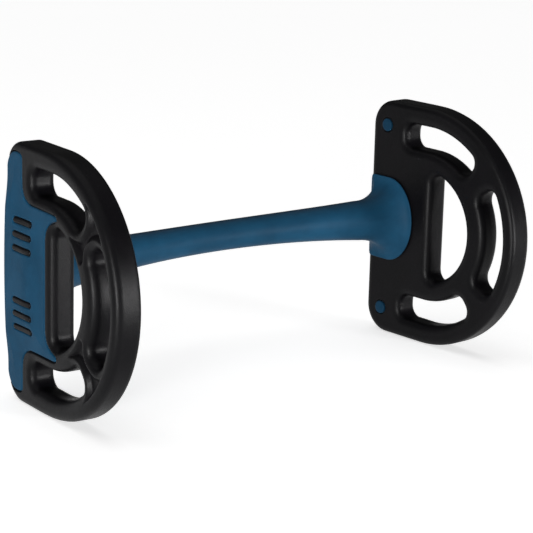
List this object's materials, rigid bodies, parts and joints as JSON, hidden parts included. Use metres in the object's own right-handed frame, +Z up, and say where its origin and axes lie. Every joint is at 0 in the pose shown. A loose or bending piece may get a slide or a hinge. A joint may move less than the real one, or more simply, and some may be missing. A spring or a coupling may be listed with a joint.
{
  "type": "horse bit",
  "caption": "Flexible, forward-curved horse bit: a soft mouthpiece over a steel core between two D-shaped plastic cheeks with strap slots and rein openings.",
  "frame": {"origin": "centre of the bit's bounding box, on its left-right and up-down planes of symmetry", "axes": "+X along the mouthpiece from the left cheek to the right, +Y towards the cheeks' straight front edges, +Z up along those edges"},
  "size_m": [0.1522, 0.0668, 0.076],
  "materials": {
    "cheek_plastic": "fine moulded satin, glass-filled nylon",
    "soft_elastomer": "soft satin thermoplastic elastomer",
    "core_steel": "drawn stainless steel"
  },
  "bodies": {
    "mouthpiece": {"mouthpiece_middle": "soft_elastomer", "core_middle": "core_steel"},
    "left_length": {"left_mouthpiece_length": "soft_elastomer", "left_core_length": "core_steel"},
    "left_side": {"left_flare": "soft_elastomer", "left_core_end": "core_steel", "left_core_washer": "core_steel", "left_core_ferrule": "core_steel", "left_cheek": "cheek_plastic", "left_cheek_inlay": "soft_elastomer", "left_upper_pin": "soft_elastomer", "left_lower_pin": "soft_elastomer"},
    "right_length": {"right_mouthpiece_length": "soft_elastomer", "right_core_length": "core_steel"},
    "right_side": {"right_flare": "soft_elastomer", "right_core_end": "core_steel", "right_core_washer": "core_steel", "right_core_ferrule": "core_steel", "right_cheek": "cheek_plastic", "right_cheek_inlay": "soft_elastomer", "right_upper_pin": "soft_elastomer", "right_lower_pin": "soft_elastomer"}
  },
  "joints": [
    {"name": "left_bend", "type": "hinge", "parent": "mouthpiece", "child": "left_length", "pos_m": [-0.031, 0.0267, 0], "axis": [0, 0, 1], "range_deg": [-20, 20], "stiffness_Nm_per_rad": 1.2},
    {"name": "left_twist", "type": "hinge", "parent": "left_length", "child": "left_side", "pos_m": [-0.053, 0.02264, 0], "axis": [1, 0, 0], "range_deg": [-12, 12], "stiffness_Nm_per_rad": 0.8},
    {"name": "right_bend", "type": "hinge", "parent": "mouthpiece", "child": "right_length", "pos_m": [0.031, 0.0267, 0], "axis": [0, 0, -1], "range_deg": [-20, 20], "stiffness_Nm_per_rad": 1.2},
    {"name": "right_twist", "type": "hinge", "parent": "right_length", "child": "right_side", "pos_m": [0.053, 0.02264, 0], "axis": [1, 0, 0], "range_deg": [-12, 12], "stiffness_Nm_per_rad": 0.8}
  ]
}
